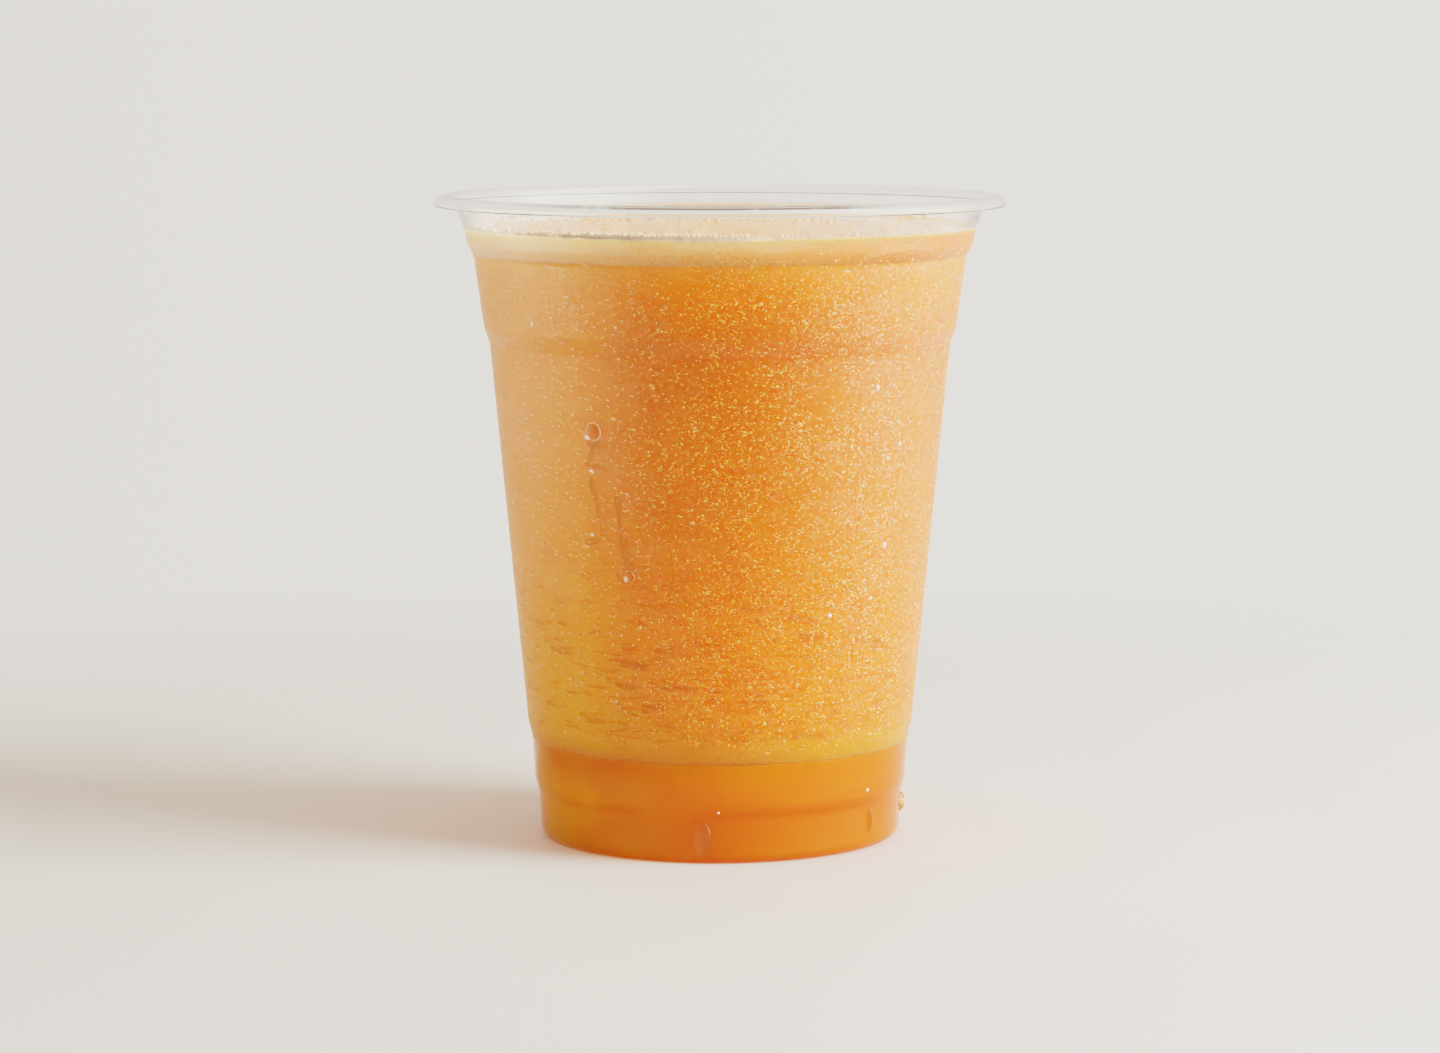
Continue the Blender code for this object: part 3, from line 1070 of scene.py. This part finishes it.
def wave_level(shape, level):
    """Let a layer's edge at one level rise and fall gently round the cup."""
    for vertex in shape.verts:
        if abs(vertex.co.z - level) < 0.00001:
            angle = math.atan2(vertex.co.y, vertex.co.x)
            rise = noise.noise(Vector((math.cos(angle) * 2.0, math.sin(angle) * 2.0, level * 100)))
            vertex.co.z += LAYER_WAVE * rise


def tongue(edge, height):
    """The hidden foot of a layer, which dips a little into the layer under it."""
    inset = edge.x - TONGUE_INSET
    dip = height - TONGUE_DIP
    return [Vector((inset, dip)), Vector((0.0, dip))]


class GUAVA_OT_cup(Operator):
    """Turn the clear cup with its rolled rim"""

    bl_idname = "guava_juice.add_cup"
    bl_label = "Clear cup"

    def execute(self, context):
        wall = cup_settings().wall
        outside = outer_wall(wall)
        inside = moved_inward(outside, wall)
        inside[-1].x = 0.0
        shape = spun_mesh(list(reversed(inside)) + outside)
        misted, wet = 1, 2
        for face in shape.faces:
            middle = face.calc_center_median()
            outward = face.normal.x * middle.x + face.normal.y * middle.y > 0
            if outward and MIST_END[1] < middle.z < FROTH_TOP + FROTH_CLIMB:
                face.material_index = misted
            elif not outward and FROTH_TOP < middle.z < NECK_TOP[1]:
                face.material_index = wet
        materials = [clear_plastic(), misted_plastic(), wet_plastic()]
        finished("clear_cup", shape, materials, ["cup"])
        return {"FINISHED"}


class GUAVA_OT_amber_juice(Operator):
    """Fill the foot with clear amber juice"""

    bl_idname = "guava_juice.add_amber_juice"
    bl_label = "Amber juice"

    def execute(self, context):
        line = drink_side(WALL - SINK_IN_WALL)
        top = (SETTLED_TOP + PULP_BOTTOM) / 2
        edge = Vector((radius_at(line, top), top))
        side = [point for point in line if point.y < top - AMBER_EDGE_GAP]
        shape = spun_mesh([Vector((0.0, top)), edge] + side)
        wave_level(shape, top)
        finished("amber_juice", shape, [amber_material()], ["settled_juice"])
        return {"FINISHED"}


class GUAVA_OT_pulpy_juice(Operator):
    """Fill the body with cloudy juice"""

    bl_idname = "guava_juice.add_pulpy_juice"
    bl_label = "Pulpy juice"

    def execute(self, context):
        line = drink_side(WALL - SINK_IN_WALL)
        top = (PULP_TOP + FROTH_BOTTOM) / 2
        foot = (SETTLED_TOP + PULP_BOTTOM) / 2
        side = stretch_of(line, top, foot, PULP_SIDE_STEP)
        shape = spun_mesh([Vector((0.0, top))] + side + tongue(side[-1], foot))
        wave_level(shape, top)
        wave_level(shape, foot)
        finished("pulp_column", shape, [pulpy_material()], ["pulpy_juice"])
        return {"FINISHED"}


class GUAVA_OT_froth(Operator):
    """Cover the juice with froth"""

    bl_idname = "guava_juice.add_froth"
    bl_label = "Froth"

    def execute(self, context):
        line = drink_side(WALL - SINK_IN_WALL)
        foot = (PULP_TOP + FROTH_BOTTOM) / 2
        side = stretch_of(line, FROTH_TOP + FROTH_CLIMB, foot, FROTH_SIDE_STEP)
        rim = side[0].x
        top = []
        for ring in range(FROTH_RINGS):
            radius = rim * ring / FROTH_RINGS
            rise = max(0.0, 1 - (rim - radius) / FROTH_CLIMB_REACH)
            top.append(Vector((radius, FROTH_TOP + FROTH_CLIMB * rise ** 2)))
        shape = spun_mesh(top + side + tongue(side[-1], foot))
        wave_level(shape, foot)
        for vertex in shape.verts:
            reach = math.hypot(vertex.co.x, vertex.co.y)
            if vertex.co.z > FROTH_TOP - SWELL_HEIGHT and reach < rim - FOAM_EDGE_GAP:
                fade = min(1.0, (rim - reach) / SWELL_FADE)
                swell = SWELL_HEIGHT * noise.noise(vertex.co / SWELL_LENGTH)
                foam = FOAM_HEIGHT * noise.noise(vertex.co / FOAM_LENGTH)
                vertex.co.z += fade * (swell + foam)
        finished("froth_cap", shape, [froth_material()], ["froth"])
        return {"FINISHED"}


def large_bubbles():
    """Places of the larger bubbles, by the same seeded rule as the solid froth's."""
    rng = random.Random(BUBBLE_SEED)
    placed = []
    while len(placed) < BUBBLE_COUNT:
        size = BUBBLE_SMALLEST + (BUBBLE_LARGEST - BUBBLE_SMALLEST) * rng.random() ** 2
        radius = (BUBBLE_FIELD - size) * rng.random() ** 0.35
        angle = rng.uniform(0.0, math.tau)
        x, y = radius * math.cos(angle), radius * math.sin(angle)
        if all(math.hypot(x - other[0], y - other[1]) > 1.05 * (size + other[3]) for other in placed):
            z = min(FROTH_TOP - size * BUBBLE_SUNK, BUBBLE_CEILING - size)
            placed.append((x, y, z, size))
    return placed


def fine_bubbles():
    """Places of the fine bubbles, first along the wall and then on the froth's top."""
    rng = random.Random(FINE_SEED)
    inner = drink_side(WALL)
    placed = []
    while len(placed) < FINE_COUNT:
        size = FINE_SMALLEST + FINE_SPREAD * rng.random() ** 3
        if len(placed) < FINE_BY_WALL:
            at_side = rng.random() < FINE_SIDE_CHANCE
            degrees = rng.gauss(FINE_SIDE, FINE_SIDE_SPREAD) if at_side else rng.uniform(0.0, 360.0)
            height = FROTH_TOP + FROTH_CLIMB + abs(rng.gauss(0.0, FINE_CLIMB))
            radius = radius_at(inner, height) - size * 0.7
        else:
            degrees = rng.uniform(0.0, 360.0)
            radius = FINE_FIELD * rng.random() ** 0.4
            height = FROTH_TOP + size * 0.1
        angle = math.radians(degrees)
        placed.append((radius * math.cos(angle), radius * math.sin(angle), height, size))
    return placed


class GUAVA_OT_bubbles(Operator):
    """Set bubbles on the froth and along the wall"""

    bl_idname = "guava_juice.add_bubbles"
    bl_label = "Bubbles"

    def execute(self, context):
        skin = bubble_material()
        for name, bubbles, ball in (
            ("froth_bubbles", large_bubbles(), small_ball(3)),
            ("fine_bubbles", fine_bubbles(), small_ball(1)),
        ):
            places = [Matrix.Translation((x, y, z)) @ Matrix.Scale(size, 4) for x, y, z, size in bubbles]
            joined_copies(name, ball, places, [skin])
        return {"FINISHED"}


def mist_density(degrees, heights):
    """How thick the fine drops stand, from 0 to 1: thin on the left of the front, and in patches."""
    round_cup = np.interp(degrees, *np.array(MIST_ROUND).T)
    up_cup = np.interp(heights, *np.array(MIST_UP).T)
    angles = [math.radians(angle) for angle in degrees]
    patches = np.array([
        noise.noise(Vector((math.cos(angle) * 4.5, math.sin(angle) * 4.5, height * 110)))
        for angle, height in zip(angles, heights)
    ])
    return round_cup * up_cup * np.clip(0.75 + 0.8 * patches, 0.1, 1.0)


class GUAVA_OT_mist(Operator):
    """Mist the outside of the cup with fine drops"""

    bl_idname = "guava_juice.add_mist"
    bl_label = "Mist"

    def execute(self, context):
        rng = np.random.default_rng(MIST_SEED)
        wanted = cup_settings().mist_drops
        tried = wanted * 4
        degrees = rng.uniform(-180.0, 180.0, tried)
        heights = rng.uniform(HEEL_TOP[1], NECK_BEND[1], tried)
        kept = rng.random(tried) < mist_density(degrees, heights)
        degrees, heights = degrees[kept][:wanted], heights[kept][:wanted]
        shares = MIST_SMALLEST_SHARE + MIST_SIZE_SPREAD * rng.random(len(degrees)) ** 2
        sizes = cup_settings().mist_drop_size * shares
        sizes *= np.where(rng.random(len(degrees)) < MIST_LARGE_CHANCE, MIST_LARGE_FACTOR, 1.0)
        drop = mist_material()
        for low, high, name in MIST_PIECES:
            chosen = (heights >= low) & (heights < high)
            size = sizes[chosen]
            widths = size * rng.uniform(*MIST_WIDTHS, len(size))
            lengths = size * rng.uniform(*MIST_LENGTHS, len(size))
            depths = size * MIST_DEPTH
            places = seated_on_wall(degrees[chosen], heights[chosen], widths, lengths, depths, MIST_SUNK)
            joined_copies(name, small_ball(1), places, [drop])
        return {"FINISHED"}


class GUAVA_OT_drops(Operator):
    """Add the larger drops, with painted highlights for their bright rims and pale flecks"""

    bl_idname = "guava_juice.add_drops"
    bl_label = "Drops"

    def execute(self, context):
        for name, drops, shape, sunk, material in (
            ("large_drops", LARGE_DROPS, small_ball(4), DROPS_SUNK, water_material()),
            ("pale_flecks", PALE_FLECKS, small_ball(4), DROPS_SUNK, pale_water_material()),
            # Thin rings painted as the bright rims of the two thickest drops
            ("drop_rims", DROP_RIMS, thin_ring(), 0.0, mist_material()),
        ):
            degrees, heights, widths, lengths, depths = np.array(drops).T
            places = seated_on_wall(degrees, heights, widths, lengths, depths, sunk)
            joined_copies(name, shape, places, [material])
        return {"FINISHED"}


class GUAVA_OT_stage(Operator):
    """Add the floor, the soft light and the camera"""

    bl_idname = "guava_juice.add_stage"
    bl_label = "Stage"

    def execute(self, context):
        add_floor()
        add_surroundings()
        add_key_light()
        set_view()
        add_camera()
        return {"FINISHED"}


def add_floor():
    """A wide plain pale floor that fades into the backdrop far from the cup."""
    material, tree = new_material("floor")
    distance = vector_result(tree, "LENGTH", place_on(tree), output="Value")
    fade = remapped(tree, distance, FLOOR_FADE_NEAR, FLOOR_FADE_FAR, 1.0, 0.0, smooth=True)
    values = {"Base Color": (*stage_settings().floor, 1.0), "Roughness": 0.6, "Alpha": fade}
    feed(tree, tree.nodes["Principled BSDF"], values)
    shape = bmesh.new()
    bmesh.ops.create_circle(shape, cap_ends=True, segments=96, radius=FLOOR_FADE_FAR)
    mesh = bpy.data.meshes.new("floor")
    shape.to_mesh(mesh)
    shape.free()
    mesh.materials.append(material)
    floor = bpy.data.objects.new("floor", mesh)
    bpy.context.scene.collection.objects.link(floor)


def brightness_round(tree, steps):
    """Brightness that changes with the direction round the cup, from (degrees from the front, value)."""
    brightest = max(value for degrees, value in steps)
    parts = parts_of(tree, place_on(tree, "Generated"))
    turn = computed(tree, "ARCTAN2", parts["X"], computed(tree, "MULTIPLY", parts["Y"], -1.0))
    ramp = add_node(tree, "ShaderNodeValToRGB", {"Fac": remapped(tree, turn, -math.pi, math.pi)})
    marks = ramp.color_ramp.elements
    while len(marks) < len(steps):
        marks.new(0.5)
    for mark, (degrees, value) in zip(marks, steps):
        mark.position = (degrees + 180) / 360
    for mark, (degrees, value) in zip(marks, steps):
        mark.color = (value / brightest, value / brightest, value / brightest, 1.0)
    return computed(tree, "MULTIPLY", ramp.outputs["Color"], brightest)


def add_surroundings():
    """The room: its even light, what the cup's gloss mirrors, and the plain backdrop that the camera sees."""
    stage = stage_settings()
    world = bpy.data.worlds.new("surroundings")
    bpy.context.scene.world = world
    world.use_nodes = True
    tree = world.node_tree
    room = (*stage.backdrop, 1.0)
    parts = parts_of(tree, place_on(tree, "Generated"))
    overhead = remapped(tree, parts["Z"], OVERHEAD_START, OVERHEAD_END, 1.0, OVERHEAD)
    around = computed(tree, "MULTIPLY", brightness_round(tree, ROOM_LIGHT), overhead)
    light = add_node(tree, "ShaderNodeBackground", {"Color": room, "Strength": around})
    deep = remapped(tree, parts["Z"], MIRRORED_DEEP_START, MIRRORED_DEEP_END, 1.0, DEEPER)
    rings = {
        "Factor": remapped(tree, parts["Z"], MIRRORED_LOW_END, MIRRORED_HIGH_START, smooth=True),
        "A": computed(tree, "MULTIPLY", brightness_round(tree, ROOM_MIRRORED_LOW), deep),
        "B": brightness_round(tree, ROOM_MIRRORED_HIGH),
    }
    blend = add_node(tree, "ShaderNodeMix", rings, data_type="FLOAT").outputs["Result"]
    mirrored = add_node(tree, "ShaderNodeBackground", {"Color": room, "Strength": blend})
    side = remapped(tree, parts["X"], BACKDROP_LEFT, BACKDROP_RIGHT)
    backdrop = tree.nodes["Background"]
    feed(tree, backdrop, {"Color": mixed(tree, stage.backdrop_left, (stage.backdrop, side))})
    rays = add_node(tree, "ShaderNodeLightPath").outputs
    unseen = mixed_shader(
        tree, rays["Is Glossy Ray"], light.outputs["Background"], mirrored.outputs["Background"],
    )
    seen = computed(tree, "MAXIMUM", rays["Is Camera Ray"], rays["Is Transmission Ray"])
    whole = mixed_shader(tree, seen, unseen, backdrop.outputs["Background"])
    feed(tree, tree.nodes["World Output"], {"Surface": whole})


def add_key_light():
    """A large soft light from the right, which no mirror shows."""
    data = bpy.data.lights.new("key", "AREA")
    data.shape = "RECTANGLE"
    data.size = KEY_WIDTH
    data.size_y = KEY_HEIGHT
    data.energy = stage_settings().key_power
    key = bpy.data.objects.new("key", data)
    key.location = KEY_PLACE
    key.visible_glossy = False
    key.visible_transmission = False
    direction = Vector(KEY_TARGET) - key.location
    key.rotation_euler = direction.to_track_quat("-Z", "Y").to_euler()
    bpy.context.scene.collection.objects.link(key)


def set_view():
    """The picture's tones, and how far light is followed."""
    view = bpy.context.scene.view_settings
    view.view_transform = "Filmic"
    view.look = "Very High Contrast"
    view.exposure = EXPOSURE
    paths = bpy.context.scene.cycles
    paths.max_bounces = LIGHT_BOUNCES
    paths.transmission_bounces = LIGHT_BOUNCES


def add_camera():
    """The camera, at the photograph's view of the cup."""
    data = bpy.data.cameras.new("camera")
    data.lens = stage_settings().lens
    data.sensor_width = SENSOR_WIDTH
    camera = bpy.data.objects.new("camera", data)
    camera.location = CAMERA_PLACE
    camera.rotation_euler = (math.radians(90 - CAMERA_DOWN), 0.0, 0.0)
    bpy.context.scene.collection.objects.link(camera)
    bpy.context.scene.camera = camera


class GUAVA_PT_sidebar(Panel):
    """Settings and steps for the cup of juice"""

    bl_idname = "GUAVA_PT_sidebar"
    bl_label = "Guava Juice"
    bl_space_type = "VIEW_3D"
    bl_region_type = "UI"
    bl_category = "Guava Juice"

    def draw(self, context):
        layout = self.layout
        for settings in (cup_settings(), juice_settings(), stage_settings()):
            for name in settings.__annotations__:
                layout.prop(settings, name)
        for step in STEPS:
            layout.operator(step.bl_idname)


SETTINGS = (CupSettings, JuiceSettings, StageSettings)
STEPS = (
    GUAVA_OT_cup,
    GUAVA_OT_amber_juice,
    GUAVA_OT_pulpy_juice,
    GUAVA_OT_froth,
    GUAVA_OT_bubbles,
    GUAVA_OT_mist,
    GUAVA_OT_drops,
    GUAVA_OT_stage,
)


def register():
    """Add the settings, steps and panel to Blender."""
    for item in SETTINGS + STEPS + (GUAVA_PT_sidebar,):
        bpy.utils.register_class(item)
    bpy.types.Scene.guava_cup = PointerProperty(type=CupSettings)
    bpy.types.Scene.guava_juice_colours = PointerProperty(type=JuiceSettings)
    bpy.types.Scene.guava_stage = PointerProperty(type=StageSettings)


def unregister():
    """Take them out again."""
    del bpy.types.Scene.guava_stage
    del bpy.types.Scene.guava_juice_colours
    del bpy.types.Scene.guava_cup
    for item in reversed(SETTINGS + STEPS + (GUAVA_PT_sidebar,)):
        bpy.utils.unregister_class(item)


def main():
    """Build every piece and the stage."""
    register()
    bpy.ops.guava_juice.add_cup()
    bpy.ops.guava_juice.add_amber_juice()
    bpy.ops.guava_juice.add_pulpy_juice()
    bpy.ops.guava_juice.add_froth()
    bpy.ops.guava_juice.add_bubbles()
    bpy.ops.guava_juice.add_mist()
    bpy.ops.guava_juice.add_drops()
    bpy.ops.guava_juice.add_stage()


if __name__ == "__main__":
    main()
